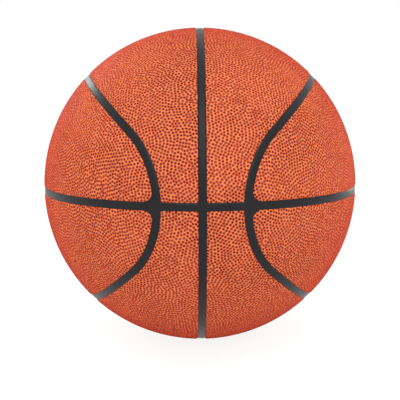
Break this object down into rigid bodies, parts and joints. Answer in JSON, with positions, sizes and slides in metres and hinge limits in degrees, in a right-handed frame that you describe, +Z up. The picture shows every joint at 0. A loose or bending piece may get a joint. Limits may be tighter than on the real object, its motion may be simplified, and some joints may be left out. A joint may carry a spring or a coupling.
{
  "type": "basketball",
  "caption": "Basketball with pebbled cover panels between recessed black seams, over a ribbed carcass, a thread winding, a bladder and a needle valve.",
  "frame": {"origin": "centre of the ball", "axes": "+Z up; -Y out of the front crossing of the vertical and horizontal seams, with the valve at the back, close to +Y; +X through the middle of the right side panels"},
  "size_m": [0.2416, 0.2414, 0.2416],
  "materials": {
    "cover": "matte",
    "carcass_rubber": "satin",
    "thread": "matte",
    "butyl": "matte",
    "valve_rubber": "satin",
    "plug_rubber": "satin"
  },
  "bodies": {
    "root": {"side_panel_top_left": "cover", "side_panel_top_right": "cover", "side_panel_bottom_left": "cover", "side_panel_bottom_right": "cover", "crown_panel_top_left": "cover", "crown_panel_top_right": "cover", "crown_panel_bottom_left": "cover", "crown_panel_bottom_right": "cover", "carcass": "carcass_rubber", "winding": "thread", "bladder": "butyl", "valve_housing": "valve_rubber", "valve_plug": "plug_rubber"}
  },
  "joints": []
}
